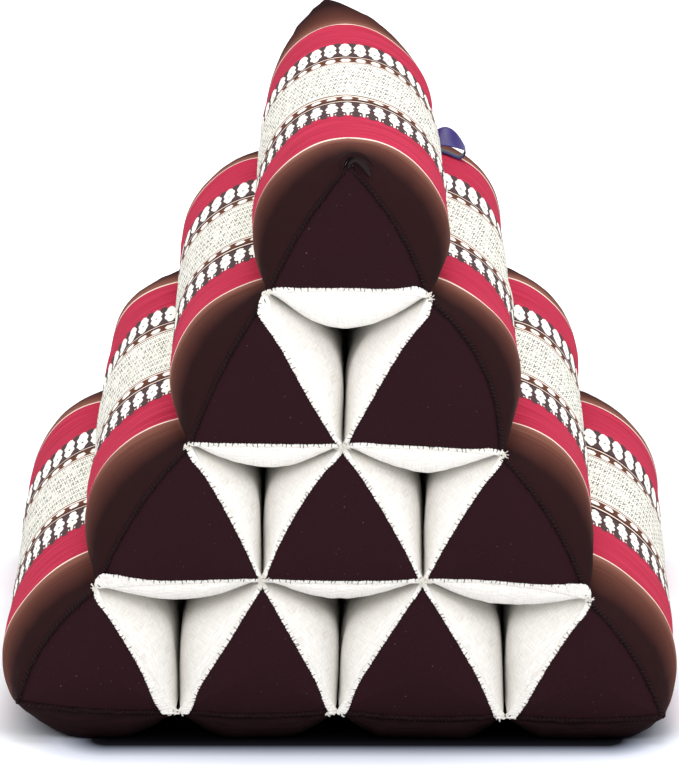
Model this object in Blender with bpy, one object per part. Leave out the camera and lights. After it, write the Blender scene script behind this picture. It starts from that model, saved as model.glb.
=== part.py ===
"""Thai triangle cushion: ten stuffed triangular tubes in four rows, with end caps, a cover and a label.

Metres, +Z up. The tubes run along Y and their front ends face -Y. A point of a cross-section is a complex
number, x + z * 1j, and each closed outline runs anticlockwise seen from the front.
"""

import bmesh
import bpy

# Driving sizes
SIDE = 0.098
ROWS = 4
SEAM_LENGTH = 0.490
BASE_SEAM_HEIGHT = 0.016
END_RISE = 0.040
CROWN_RISE = 0.015
BASE_RISE = 0.014
CLOTH = 0.0015
CAP_CLOTH = 0.0012
CAP_CROWN = 0.005
GAP = 0.0003
TOUCH = 0.0002
SEAM_TRIM = 0.0004

# Where the seam lines lie apart from an even grid, in millimetres: where the front end's seams meet, and the
# groove behind it near the front and at the back
JUNCTION_COLUMNS = ("row", "place", "seam_dx", "seam_dz", "near_dx", "near_dz", "far_dx", "far_dz")
JUNCTIONS = (
    (0, 0, 3.0, 1.1, 4.0, 1.1, -1.0, 2.0),
    (1, 0, 3.1, 6.9, 3.1, 7.5, 1.0, 5.0),
    (1, 1, 2.9, 4.6, 3.0, 8.0, 0.0, 14.0),
    (2, 0, 5.1, -1.1, 0.0, 5.0, -6.0, 9.0),
    (2, 1, 0.1, -2.3, 0.0, 0.0, 1.5, 4.0),
    (2, 2, -2.0, -7.0, 0.0, 3.0, -3.0, 13.0),
    (3, 0, -2.0, -4.4, -5.0, 8.0, -5.0, 14.0),
    (3, 1, 0.4, -0.2, 0.4, 1.0, -1.0, 4.0),
    (3, 2, -0.8, -0.7, -0.8, 1.0, 1.0, 4.0),
    (3, 3, 1.6, -11.4, -3.0, 8.0, 0.0, 15.0),
    (4, 0, -1.9, 8.3, -5.5, 3.0, -3.0, 3.0),
    (4, 1, -1.5, 2.4, -1.5, 2.0, 0.5, 1.0),
    (4, 2, -3.4, 2.5, -3.4, 2.0, -1.0, 1.5),
    (4, 3, -0.1, -0.4, -0.1, 0.0, 1.0, 0.5),
    (4, 4, -1.4, -0.3, 0.5, -4.5, 0.5, -2.0),
)

# Where the top tube's seam ends at the back, whose corner stands up as an ear, in millimetres
BACK_TIP = {"dx": -12.5, "dz": 15.2}

# How the walls meet in the gap under each row: the depth of the meeting point as a share of the gap's
# height, and how closely the upper wall and the two side walls fill their corner there
GAP_COLUMNS = ("row", "meeting_depth", "upper_fill", "side_fill")
GAPS = (
    (1, 0.437, 2.7, 6.0),
    (2, 0.353, 1.2, 5.0),
    (3, 0.370, 0.8, 6.0),
)

# How far each cap's outer seams bow outwards, as shares of the side
BOW_COLUMNS = ("row", "left_bow", "right_bow")
SEAM_BOWS = (
    (1, 0.040, 0.070),
    (2, 0.037, 0.120),
    (3, 0.055, 0.060),
    (4, 0.090, 0.060),
)
BASE_BOW = 0.030

# How far each cap's seams along the gaps bow into them, as shares of the side
GAP_BOW_COLUMNS = ("row", "place", "left", "base", "right")
GAP_BOWS = (
    (1, 0, 0.0, -0.031, 0.0),
    (2, 0, 0.0, 0.000, -0.046),
    (2, 1, 0.005, -0.015, 0.0),
    (3, 0, 0.0, -0.008, 0.022),
    (3, 1, 0.050, 0.010, 0.022),
    (3, 2, 0.020, -0.040, 0.0),
    (4, 0, 0.0, 0.0, -0.023),
    (4, 1, -0.015, 0.0, -0.003),
    (4, 2, 0.006, 0.0, 0.001),
    (4, 3, -0.012, 0.0, 0.0),
)

# The outer walls' full curve: its control point along and off the seam-to-seam line, and its weight
SLOPE_ALONG = 0.64
SLOPE_WEIGHT = 0.62
SLOPE_COLUMNS = ("row", "left_out", "right_out")
SLOPES = (
    (2, 0.67, 0.74),
    (3, 0.62, 0.70),
    (4, 0.62, 0.61),
)
BASE_OUT = 0.50
BASE_WEIGHT = 0.80

# The top tube's arch, as shares of the side
RIDGE_LIFT = 0.070
ARCH_HALF_WIDTH = 0.570
ARCH_WAIST = 0.250
ARCH_TUCK = 0.080
ARCH_WEIGHT = 0.68
TUCK_WEIGHT = 0.80

# The bare ribbon label: a flat loop sewn into the groove right of the top tube
LABEL_Y = 0.188
LABEL_WIDTH = 0.014
LABEL_THICKNESS = 0.0010
LABEL_START = 0.004
LABEL_REACH = 0.024
LABEL_CLEAR = 0.00096
LABEL_FOLD = 0.0042
LABEL_OVERLAP = 0.0022
LABEL_ARCH_IN = 0.008
LABEL_ARCH_UP = 0.0067
LABEL_ARCH_WEIGHT = 0.7
LABEL_ARCH_STEPS = 5

# How finely the curves are stepped
WALL_STEPS = 8
DENSE_STEPS = 64
END_STATIONS = (0.0, 0.08, 0.28, 0.60, 1.0)
CAP_RING = 0.52
CAP_RING_RISE = 0.76
SHARP_ANGLE = 0.9
STRAIGHT_TURN = 0.02

MATERIALS = {
    "cotton_white": ((0.82, 0.78, 0.70), 0.90),
    "cap_brown": ((0.030, 0.010, 0.012), 0.85),
    "cover_striped": ((0.30, 0.05, 0.06), 0.80),
    "base_brown": ((0.040, 0.014, 0.013), 0.85),
    "label_ribbon": ((0.06, 0.05, 0.22), 0.35),
}


def clear_scene():
    for thing in list(bpy.data.objects):
        bpy.data.objects.remove(thing, do_unlink=True)


def make_collection(name):
    collection = bpy.data.collections.new(name)
    bpy.context.scene.collection.children.link(collection)
    return collection


def make_material(name):
    colour, roughness = MATERIALS[name]
    material = bpy.data.materials.new(name)
    material.use_nodes = True
    shader = material.node_tree.nodes["Principled BSDF"]
    shader.inputs["Base Color"].default_value = (*colour, 1.0)
    shader.inputs["Roughness"].default_value = roughness
    shader.inputs["Metallic"].default_value = 0.0
    return material


def table(columns, rows):
    """A short table as dictionaries, one for each row."""
    return [dict(zip(columns, row)) for row in rows]


SHIFTS = {(j["row"], j["place"]): j for j in table(JUNCTION_COLUMNS, JUNCTIONS)}
GAP_OF_ROW = {g["row"]: g for g in table(GAP_COLUMNS, GAPS)}
BOW_OF_ROW = {b["row"]: b for b in table(BOW_COLUMNS, SEAM_BOWS)}
GAP_BOW_OF_TUBE = {(b["row"], b["place"]): b for b in table(GAP_BOW_COLUMNS, GAP_BOWS)}
SLOPE_OF_ROW = {s["row"]: s for s in table(SLOPE_COLUMNS, SLOPES)}


def inwards(y, rise=END_RISE):
    """The share of the rounded end that lies between the end seam and the depth y, up to 1."""
    return min(max((SEAM_LENGTH / 2.0 - abs(y)) / rise, 0.0), 1.0)


def swell(y, rise):
    """How full a wall is at the depth y: 0 at the end seams, 1 beyond its rounded ends."""
    return (1.0 - (1.0 - inwards(y, rise)) ** 2) ** 0.5


def junction(row, place, y):
    """The point where the seam lines of a row meet, at the depth y."""
    shift = SHIFTS[(row, place)]
    back = 0.5 + y / SEAM_LENGTH
    settled = inwards(y) ** 2 * (3.0 - 2.0 * inwards(y))
    moved = []
    for axis in ("dx", "dz"):
        groove = (1.0 - back) * shift["near_" + axis] + back * shift["far_" + axis]
        seam = shift["seam_" + axis]
        if y > 0.0:
            seam = BACK_TIP[axis] if row == 0 else groove
        moved.append((1.0 - settled) * seam + settled * groove)
    x = (place - row / 2.0) * SIDE + moved[0] / 1000.0
    z = BASE_SEAM_HEIGHT + (ROWS - row) * SIDE * 3.0 ** 0.5 / 2.0 + moved[1] / 1000.0
    return complex(x, z)


def conic(start, control, finish, weight, steps):
    """A rounded corner from start to finish; a greater weight fills the corner at control more."""
    points = []
    for i in range(steps + 1):
        t = i / steps
        a = (1.0 - t) ** 2
        c = 2.0 * weight * t * (1.0 - t)
        b = t * t
        points.append((a * start + c * control + b * finish) / (a + b + c))
    return points


def off_chord(start, finish, along, out):
    """A point beside the line from start to finish, out on its right-hand side."""
    return start + (finish - start) * (along - 1j * out)


def lengths(points):
    """The share of the curve's length at each of its points."""
    run = [0.0]
    for before, after in zip(points, points[1:]):
        run.append(run[-1] + abs(after - before))
    return [value / run[-1] for value in run]


def resample(points, shares):
    """Points on the curve at the given shares of its length."""
    own = lengths(points)
    picked = []
    place = 0
    for share in shares:
        while place < len(own) - 2 and own[place + 1] < share:
            place += 1
        part = (share - own[place]) / (own[place + 1] - own[place])
        picked.append(points[place] + (points[place + 1] - points[place]) * min(max(part, 0.0), 1.0))
    return picked


def even_shares():
    return [i / WALL_STEPS for i in range(WALL_STEPS + 1)]


def arch_half(apex, foot, side):
    """One half of the top tube's outline, from the ridge down to its groove."""
    ridge = apex + 1j * RIDGE_LIFT * SIDE
    waist = complex(apex.real + side * ARCH_HALF_WIDTH * SIDE, foot.imag + ARCH_WAIST * SIDE)
    shoulder = complex(waist.real, ridge.imag)
    tuck = complex(waist.real, foot.imag + ARCH_TUCK * SIDE)
    upper = conic(ridge, shoulder, waist, ARCH_WEIGHT, DENSE_STEPS)
    lower = conic(waist, tuck, foot, TUCK_WEIGHT, DENSE_STEPS)
    return upper + lower[1:]


def full_wall(row, place, wall, y):
    """A wall of a tube where it is full, as points from one corner to the next."""
    top = junction(row - 1, place, y)
    left = junction(row, place, y)
    right = junction(row, place + 1, y)
    start, finish = {"left": (top, left), "base": (left, right), "right": (right, top)}[wall]
    if is_inner(row, place, wall):
        gap_row, gap_place = {
            "left": (row - 1, place - 1),
            "base": (row, place),
            "right": (row - 1, place),
        }[wall]
        fill = GAP_OF_ROW[gap_row]["upper_fill" if wall == "base" else "side_fill"]
        return conic(start, meeting_point(gap_row, gap_place, y), finish, fill, WALL_STEPS)
    if wall == "base":
        control = off_chord(start, finish, 0.5, BASE_OUT)
        dense = conic(start, control, finish, BASE_WEIGHT, DENSE_STEPS)
        return [complex(p.real, max(p.imag, 0.0)) for p in resample(dense, even_shares())]
    if row == 1:
        side = -1.0 if wall == "left" else 1.0
        half = arch_half(top, left if wall == "left" else right, side)
        return resample(half if wall == "left" else half[::-1], even_shares())
    along = SLOPE_ALONG if wall == "left" else 1.0 - SLOPE_ALONG
    control = off_chord(start, finish, along, SLOPE_OF_ROW[row][wall + "_out"])
    return resample(conic(start, control, finish, SLOPE_WEIGHT, DENSE_STEPS), even_shares())


def meeting_point(row, place, y):
    """Where the three walls around the gap under a tube would meet if they filled it."""
    upper = (junction(row, place, y) + junction(row, place + 1, y)) / 2.0
    foot = junction(row + 1, place + 1, y)
    return upper + GAP_OF_ROW[row]["meeting_depth"] * (foot - upper)


def is_inner(row, place, wall):
    """True where the wall faces a gap between tubes and not the outside."""
    return {"left": place > 0, "base": row < ROWS, "right": place < row - 1}[wall]


def seam_wall(row, place, wall, y, shares):
    """The same wall at an end seam, which is nearly straight."""
    top = junction(row - 1, place, y)
    left = junction(row, place, y)
    right = junction(row, place + 1, y)
    start, finish = {"left": (top, left), "base": (left, right), "right": (right, top)}[wall]
    if is_inner(row, place, wall):
        bow = GAP_BOW_OF_TUBE[(row, place)][wall]
    elif wall == "base":
        bow = BASE_BOW
    else:
        bow = BOW_OF_ROW[row][wall + "_bow"]
    control = off_chord(start, finish, 0.5, 2.0 * bow)
    return resample(conic(start, control, finish, 1.0, DENSE_STEPS), shares)


def wall_points(row, place, wall, y):
    """A wall's points at the depth y, without its last one, which the next wall begins with."""
    full = full_wall(row, place, wall, y)
    rise = END_RISE
    if wall == "base":
        rise = BASE_RISE if row == ROWS else CROWN_RISE
    fullness = swell(y, rise)
    seam = seam_wall(row, place, wall, y, lengths(full))
    return [(1.0 - fullness) * s + fullness * f for s, f in zip(seam, full)][:-1]


def inset(points, depths):
    """The closed outline with each edge moved inwards by its own depth and its corners mitred."""
    moved = []
    for i, point in enumerate(points):
        after_point = points[(i + 1) % len(points)]
        before = (point - points[i - 1]) / abs(point - points[i - 1])
        after = (after_point - point) / abs(after_point - point)
        turn = (before.conjugate() * after).imag
        facing = (before.conjugate() * after).real
        slide = 0.0
        if abs(turn) > STRAIGHT_TURN:
            slide = (depths[i - 1] * facing - depths[i]) / turn
        moved.append(point + 1j * before * depths[i - 1] + before * slide)
    return moved


def tube_section(row, place, y):
    """A tube's closed outline under the cloth that covers it, at the depth y."""
    points = []
    depths = []
    for wall in ("left", "base", "right"):
        points += wall_points(row, place, wall, y)
        depth = TOUCH if is_inner(row, place, wall) else CLOTH + GAP
        depths += [depth] * WALL_STEPS
    return inset(points, depths)


def outer_section(y):
    """The whole cushion's closed outline: up the right slope, down the left one, along the base."""
    points = []
    for row in range(ROWS, 0, -1):
        points += wall_points(row, row - 1, "right", y)
    for row in range(1, ROWS + 1):
        points += wall_points(row, 0, "left", y)
    for place in range(ROWS):
        points += wall_points(ROWS, place, "base", y)
    return points


def stations():
    """The depths of the sections, from the front seam to the back one."""
    front = [-SEAM_LENGTH / 2.0 + share * END_RISE for share in END_STATIONS]
    return front + [-y for y in reversed(front)]


def centre_x():
    """The middle of the cushion's width, which is moved to x = 0."""
    xs = [p.real for y in stations() for p in outer_section(y)]
    return (min(xs) + max(xs)) / 2.0


def add_object(name, slot, collection, vertices, faces):
    mesh = bpy.data.meshes.new(name)
    mesh.from_pydata([(x - MIDDLE, y, z) for x, y, z in vertices], [], faces)
    mesh.update()
    solid = bmesh.new()
    solid.from_mesh(mesh)
    bmesh.ops.recalc_face_normals(solid, faces=solid.faces)
    solid.to_mesh(mesh)
    solid.free()
    mesh.shade_smooth()
    mesh.set_sharp_from_angle(angle=SHARP_ANGLE)
    mesh.materials.append(bpy.data.materials[slot])
    thing = bpy.data.objects.new(name, mesh)
    collection.objects.link(thing)
    return thing


def quad(a, b, c, d):
    """A four-sided face as two triangles, split the same way on every layer of cloth."""
    return [(a, b, c), (a, c, d)]


def crowned_end(ring, y, outward):
    """Vertices of a crowned end inside the outline ring: an inner ring and the middle point."""
    middle = sum(ring) / len(ring)
    inner = [middle + (point - middle) * CAP_RING for point in ring]
    vertices = [(p.real, y + outward * CAP_CROWN * CAP_RING_RISE, p.imag) for p in inner]
    vertices.append((middle.real, y + outward * CAP_CROWN, middle.imag))
    return vertices


def end_faces(count, ring_start, inner_start):
    """Faces from an outline ring to its inner ring and on to the middle point."""
    faces = []
    for i in range(count):
        j = (i + 1) % count
        faces += quad(ring_start + i, ring_start + j, inner_start + j, inner_start + i)
        faces.append((inner_start + i, inner_start + j, inner_start + count))
    return faces


def make_tube(row, place, collection):
    """One stuffed tube: a filled solid with crowned ends and rounded, drawn-in walls."""
    depths = stations()
    rings = [tube_section(row, place, y) for y in depths]
    depths[0] += CAP_CLOTH + GAP
    depths[-1] -= CAP_CLOTH + GAP
    count = len(rings[0])
    vertices = [(p.real, y, p.imag) for y, ring in zip(depths, rings) for p in ring]
    faces = []
    for bay in range(len(rings) - 1):
        for i in range(count):
            j = (i + 1) % count
            here = bay * count
            there = here + count
            faces += quad(here + i, here + j, there + j, there + i)
    front_inner = len(vertices)
    vertices += crowned_end(rings[0], depths[0], -1.0)
    back_inner = len(vertices)
    vertices += crowned_end(rings[-1], depths[-1], 1.0)
    faces += end_faces(count, 0, front_inner)
    faces += end_faces(count, (len(rings) - 1) * count, back_inner)
    add_object(f"tube_{row}_{place + 1}", "cotton_white", collection, vertices, faces)


def make_cap(row, place, end, collection):
    """One end cap: thin cloth over a tube's crowned end."""
    outward = -1.0 if end == "front" else 1.0
    seam_y = outward * SEAM_LENGTH / 2.0
    ring = tube_section(row, place, seam_y)
    count = len(ring)
    vertices = []
    for y in (seam_y, seam_y - outward * CAP_CLOTH):
        vertices += [(p.real, y, p.imag) for p in ring]
        vertices += crowned_end(ring, y, outward)
    back_start = 2 * count + 1
    faces = end_faces(count, 0, count)
    faces += end_faces(count, back_start, back_start + count)
    for i in range(count):
        j = (i + 1) % count
        faces += quad(i, j, back_start + j, back_start + i)
    add_object(f"cap_{end}_{row}_{place + 1}", "cap_brown", collection, vertices, faces)


def trimmed(points):
    """The open line of points with both ends drawn back a little from the seam."""
    first = points[0] + (points[1] - points[0]) / abs(points[1] - points[0]) * SEAM_TRIM
    last = points[-1] + (points[-2] - points[-1]) / abs(points[-2] - points[-1]) * SEAM_TRIM
    return [first] + points[1:-1] + [last]


def make_cloth(name, slot, first, last, collection):
    """A sheet of the outer cloth between two places on the cushion's outline, lofted along Y."""
    vertices = []
    depths = stations()
    for y in depths:
        outer = outer_section(y)
        inner = inset(outer, [CLOTH] * len(outer))
        count = len(outer)
        face_line = trimmed([outer[i % count] for i in range(first, last + 1)])
        back_line = trimmed([inner[i % count] for i in range(first, last + 1)])
        vertices += [(p.real, y, max(p.imag, 0.0)) for p in face_line]
        vertices += [(p.real, y, p.imag) for p in back_line]
    width = last - first + 1
    block = 2 * width
    faces = []
    for bay in range(len(depths) - 1):
        here = bay * block
        there = here + block
        for side in (0, width):
            for i in range(width - 1):
                a = side + i
                faces += quad(here + a, here + a + 1, there + a + 1, there + a)
        for edge in (0, width - 1):
            faces += quad(here + edge, there + edge, there + width + edge, here + width + edge)
    for station in (0, len(depths) - 1):
        here = station * block
        for i in range(width - 1):
            faces += quad(here + i, here + i + 1, here + width + i + 1, here + width + i)
    add_object(name, slot, collection, vertices, faces)


def label_line():
    """The ribbon's middle line: out over the second row's bulge, round the fold, and back above."""
    cloth = wall_points(2, 1, "right", LABEL_Y)[::-1]
    groove = junction(1, 1, LABEL_Y)
    lift = GAP + LABEL_THICKNESS / 2.0
    over = [groove] + cloth
    run = 0.0
    lower = []
    for before, after in zip(over, over[1:]):
        step = abs(after - before)
        along = (after - before) / step
        if lower:
            lower.append(before + 1j * along * LABEL_CLEAR)
        else:
            lower.append(before + along * LABEL_START + 1j * along * lift)
        run += step
        if run > LABEL_REACH:
            cut = before + along * (step - (run - LABEL_REACH))
            lower.append(cut + 1j * along * lift)
            break
    end = lower[-1]
    along = (end - lower[-2]) / abs(end - lower[-2])
    hub = end + 1j * along * LABEL_FOLD
    fold = [hub + (end - hub) * 1j ** (k / 2.0) for k in range(1, 4)]
    start = lower[0] + 1j * LABEL_OVERLAP
    arch = hub + 1j * LABEL_ARCH_UP - LABEL_ARCH_IN
    return lower + fold + conic(fold[-1], arch, start, LABEL_ARCH_WEIGHT, LABEL_ARCH_STEPS)


def make_label(collection):
    """The ribbon loop, as wide along Y as a real label."""
    line = label_line()
    half = LABEL_THICKNESS / 2.0
    right_side = []
    left_side = []
    for i, point in enumerate(line):
        before = line[max(i - 1, 0)]
        after = line[min(i + 1, len(line) - 1)]
        normal = 1j * (after - before) / abs(after - before)
        right_side.append(point - normal * half)
        left_side.append(point + normal * half)
    count = len(line)
    vertices = []
    for y in (LABEL_Y - LABEL_WIDTH / 2.0, LABEL_Y + LABEL_WIDTH / 2.0):
        vertices += [(p.real, y, p.imag) for p in right_side + left_side]
    block = 2 * count
    faces = []
    for i in range(count - 1):
        for start in (0, block):
            faces += quad(start + i, start + i + 1, start + count + i + 1, start + count + i)
        for start in (0, count):
            faces += quad(start + i, start + i + 1, block + start + i + 1, block + start + i)
    for i in (0, count - 1):
        faces += quad(i, count + i, block + count + i, block + i)
    add_object("label", "label_ribbon", collection, vertices, faces)


def main():
    clear_scene()
    for name in MATERIALS:
        make_material(name)
    collection = make_collection("thai_triangle_cushion")
    for row in range(1, ROWS + 1):
        for place in range(row):
            make_tube(row, place, collection)
            for end in ("front", "back"):
                make_cap(row, place, end, collection)
    slopes_end = 2 * ROWS * WALL_STEPS
    make_cloth("cover_slopes", "cover_striped", 0, slopes_end, collection)
    for place in range(ROWS):
        first = slopes_end + place * WALL_STEPS
        make_cloth(f"cover_base_{place + 1}", "base_brown", first, first + WALL_STEPS, collection)
    make_label(collection)


MIDDLE = centre_x()
main()
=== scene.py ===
"""Looks of the Thai triangle cushion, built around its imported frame.

Metres, +Z up. The tubes run along Y and their front ends face -Y. A point of a cross-section is a complex
number, x + z * 1j, and each closed outline runs anticlockwise seen from the front.
"""

import math

import bmesh
import bpy
import numpy as np
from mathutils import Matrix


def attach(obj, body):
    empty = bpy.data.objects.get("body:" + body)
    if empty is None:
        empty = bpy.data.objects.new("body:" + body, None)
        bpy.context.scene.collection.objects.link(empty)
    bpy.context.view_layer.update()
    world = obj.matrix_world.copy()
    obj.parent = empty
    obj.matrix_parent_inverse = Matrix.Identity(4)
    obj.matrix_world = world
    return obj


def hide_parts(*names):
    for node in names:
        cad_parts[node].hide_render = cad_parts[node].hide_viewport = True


# The frame's driving sizes
SIDE = 0.098
ROWS = 4
SEAM_LENGTH = 0.490
SEAM_Y = SEAM_LENGTH / 2.0
BASE_SEAM_HEIGHT = 0.016
END_RISE = 0.040
CROWN_RISE = 0.015
BASE_RISE = 0.014
CLOTH = 0.0015
CAP_CLOTH = 0.0012
CAP_CROWN = 0.005
GAP = 0.0003
TOUCH = 0.0002
SEAM_TRIM = 0.0004
MITRE_LIMIT = 0.006

# Where the seam lines lie apart from an even grid, in millimetres: where the front end's seams meet, and the
# groove behind it near the front and at the back
JUNCTION_COLUMNS = ("row", "place", "seam_dx", "seam_dz", "near_dx", "near_dz", "far_dx", "far_dz")
JUNCTIONS = (
    (0, 0, 3.0, 1.1, 4.0, 1.1, -1.0, 2.0),
    (1, 0, 3.1, 6.9, 3.1, 7.5, 1.0, 5.0),
    (1, 1, 2.9, 4.6, 3.0, 8.0, 0.0, 14.0),
    (2, 0, 5.1, -1.1, 0.0, 5.0, -6.0, 9.0),
    (2, 1, 0.1, -2.3, 0.0, 0.0, 1.5, 4.0),
    (2, 2, -2.0, -7.0, 0.0, 3.0, -3.0, 13.0),
    (3, 0, -2.0, -4.4, -5.0, 8.0, -5.0, 14.0),
    (3, 1, 0.4, -0.2, 0.4, 1.0, -1.0, 4.0),
    (3, 2, -0.8, -0.7, -0.8, 1.0, 1.0, 4.0),
    (3, 3, 1.6, -11.4, -3.0, 8.0, 0.0, 15.0),
    (4, 0, -1.9, 8.3, -5.5, 3.0, -3.0, 3.0),
    (4, 1, -1.5, 2.4, -1.5, 2.0, 0.5, 1.0),
    (4, 2, -3.4, 2.5, -3.4, 2.0, -1.0, 1.5),
    (4, 3, -0.1, -0.4, -0.1, 0.0, 1.0, 0.5),
    (4, 4, -1.4, -0.3, 0.5, -4.5, 0.5, -2.0),
)

# Where the top tube's seam ends at the back, whose corner stands up as an ear, in millimetres
BACK_TIP = {"dx": -12.5, "dz": 15.2}

# How the walls meet in the gap under each row
GAP_COLUMNS = ("row", "meeting_depth", "crown_depth", "side_fill")
GAPS = (
    (1, 0.408, 0.258, 2.9),
    (2, 0.325, 0.212, 3.6),
    (3, 0.342, 0.178, 4.0),
)
CROWN_WEIGHT = 1.25
GAP_PRESS = 1.06

# How far each cap's outer seams bow outwards, as shares of the side
BOW_COLUMNS = ("row", "left_bow", "right_bow")
SEAM_BOWS = (
    (1, 0.040, 0.070),
    (2, 0.037, 0.120),
    (3, 0.055, 0.060),
    (4, 0.090, 0.060),
)
BASE_BOW = 0.030

# How far each cap's seams along the gaps bow into them, as shares of the side
GAP_BOW_COLUMNS = ("row", "place", "left", "base", "right")
GAP_BOWS = (
    (1, 0, 0.0, -0.031, 0.0),
    (2, 0, 0.0, 0.000, -0.046),
    (2, 1, 0.005, -0.015, 0.0),
    (3, 0, 0.0, -0.008, 0.022),
    (3, 1, 0.050, 0.010, 0.022),
    (3, 2, 0.020, -0.040, 0.0),
    (4, 0, 0.0, 0.0, -0.023),
    (4, 1, -0.015, 0.0, -0.003),
    (4, 2, 0.006, 0.0, 0.001),
    (4, 3, -0.012, 0.0, 0.0),
)

# How much further than its usual width the white hem laps over each cap, and how far along the seam that
# reaches from the wall's start and finish, in millimetres
HEM_COLUMNS = ("row", "place", "wall", "start_lap", "start_reach", "finish_lap", "finish_reach")
HEMS = (
    (1, 0, "base", 3.0, 14.0, 6.0, 18.0),
    (2, 0, "base", 1.0, 10.0, 1.0, 10.0),
    (2, 0, "right", 1.0, 12.0, 8.0, 26.0),
    (2, 1, "left", 4.5, 24.0, 0.5, 10.0),
    (2, 1, "base", 2.0, 20.0, 3.0, 14.0),
    (3, 0, "base", 8.0, 26.0, 0.5, 10.0),
    (3, 0, "right", 0.5, 10.0, 3.0, 14.0),
    (3, 1, "left", 2.0, 12.0, 0.5, 10.0),
    (3, 1, "base", 0.5, 10.0, 1.0, 12.0),
    (3, 1, "right", 0.5, 10.0, 1.5, 12.0),
    (3, 2, "left", 2.0, 14.0, 0.5, 10.0),
    (3, 2, "base", 1.0, 12.0, 8.0, 24.0),
    (4, 0, "right", 8.0, 26.0, 3.0, 14.0),
    (4, 1, "left", 1.0, 12.0, 5.0, 14.0),
    (4, 1, "right", 3.5, 16.0, 0.5, 10.0),
    (4, 2, "left", 0.5, 10.0, 4.0, 14.0),
    (4, 2, "right", 4.0, 20.0, 1.0, 12.0),
    (4, 3, "left", 2.5, 14.0, 5.0, 30.0),
)
HEM_FADE = 0.010
HEM_CORNER_FADE = 0.005
HEM_LAP = 0.0010
HEM_INSIDE = 0.0010
HEM_THICKNESS = 0.0006
HEM_STEP = 0.00045
HEM_ACROSS = (1.0, 0.96, 0.85, 0.65, 0.45, 0.25, 0.10, 0.0)
HEM_WITHIN = (0.35, 0.70, 1.0)
HEM_EDGE = 0.0004
HEM_DROP = 0.0014
WHIP_PITCH = 0.0021
WHIP_SCALLOP = 0.00050

# The stitches, rolled seams and knots: pitches along the seams, reaches, and the radii of the threads
TICK_PITCH = 0.0036
TICK_LENGTH = 0.0021
TICK_RADIUS = 0.00019
SEAM_STEP = 0.00050
SEAM_ROLL = 0.0014
SEAM_PITCH = 0.0026
SEAM_STITCH = 0.0030
SEAM_THREAD = 0.00036
# The painted glints: the share of seam stitches that get a pale highlight strand, and its radius
GLINT_SHARE = 0.60
GLINT_THREAD = 0.00015
STAR_REACH = 0.0052
STAR_THREAD = 0.00022
KNOT_REACH = 0.0016
KNOT_THICKNESS = 0.00062
KNOT_SPREAD = 0.0012
KNOT_SPREAD_BELOW = 0.0062
CAP_INRADIUS = 0.028

# The curled pleat over the front of the top tube, from its corner, in millimetres along x and z
PLEAT_LIP = ((-3.2, -4.0), (-2.9, 1.2), (-0.8, 4.8), (3.4, 6.2), (8.4, 5.3), (12.6, 2.3), (15.8, -2.2))
PLEAT_FOLD = ((0.2, -3.2), (1.4, 1.0), (4.6, 2.6), (8.0, 0.6), (11.0, -3.6), (13.6, -8.6))
PLEAT_GIRTH = 0.0015
HOOD_RISE = 0.0052
HOOD_HALF_WIDTH = 0.016
HOOD_DEPTH = 0.007

# The outer walls' full curve
SLOPE_ALONG = 0.64
SLOPE_WEIGHT = 0.62
SLOPE_COLUMNS = ("row", "left_out", "right_out", "more_behind")
SLOPES = (
    (2, 0.65, 0.70, 0.03),
    (3, 0.60, 0.67, 0.05),
    (4, 0.56, 0.58, 0.16),
)
SLOPE_LIFT_BEHIND = 0.19
BASE_OUT = 0.50
BASE_WEIGHT = 0.80

# The top tube's arch, as shares of the side
RIDGE_LIFT = 0.070
ARCH_NEAR_WIDTH = {-1.0: 0.582, 1.0: 0.628}
ARCH_FAR_WIDTH = {-1.0: 0.530, 1.0: 0.520}
ARCH_WAIST = 0.250
ARCH_TUCK = 0.080
ARCH_WEIGHT = 0.68
TUCK_WEIGHT = 0.80

# The bare ribbon label: a flat loop sewn into the groove right of the top tube
LABEL_Y = 0.188
LABEL_WIDTH = 0.014
LABEL_THICKNESS = 0.0010
LABEL_START = 0.004
LABEL_REACH = 0.024
LABEL_CLEAR = 0.00096
LABEL_FOLD = 0.0042
LABEL_OVERLAP = 0.0022
LABEL_ARCH_IN = 0.008
LABEL_ARCH_UP = 0.0060
LABEL_ARCH_UP_BEHIND = 0.0270
LABEL_ARCH_WEIGHT = 0.9
LABEL_STEP = 0.0006

# How finely the curves are stepped
DENSE_STEPS = 160
COVER_STEPS = 46
CASING_STEPS = 36
END_STEPS = 14
COVER_BAY = 0.0055
CASING_BAY = 0.020
CAP_RINGS = 14
COVER_ROOM = 0.0022
COVER_ROOM_DEPTH = 0.012
COVER_ROLL_OUT = 0.0006
COVER_ROLL_IN = 0.0004

# Where the contact shadow painted on the floor around the cushion ends
SHADOW_MIDDLE = 0.010
SHADOW_SIDE = 0.150
SHADOW_FRONT = 0.238

# The camera, and the size of the picture it stands for
CAMERA_PLACE = (0.0145521, -4.745, 1.2166)
CAMERA_PITCH = 12.474
CAMERA_YAW = -0.191
CAMERA_LENS = 359.8
SENSOR = 36.0

# The middle of the seams' own grid, which the frame has at x = 0
MIDDLE_SHIFT = -0.0015521


def table(columns, rows):
    """A short table as dictionaries, one for each row."""
    return [dict(zip(columns, row)) for row in rows]


SHIFTS = {(j["row"], j["place"]): j for j in table(JUNCTION_COLUMNS, JUNCTIONS)}
GAP_OF_ROW = {g["row"]: g for g in table(GAP_COLUMNS, GAPS)}
BOW_OF_ROW = {b["row"]: b for b in table(BOW_COLUMNS, SEAM_BOWS)}
GAP_BOW_OF_TUBE = {(b["row"], b["place"]): b for b in table(GAP_BOW_COLUMNS, GAP_BOWS)}
SLOPE_OF_ROW = {s["row"]: s for s in table(SLOPE_COLUMNS, SLOPES)}


def inwards(y, rise=END_RISE):
    """The share of the rounded end that lies between the end seam and the depth y, up to 1."""
    return min(max((SEAM_Y - abs(y)) / rise, 0.0), 1.0)


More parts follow.
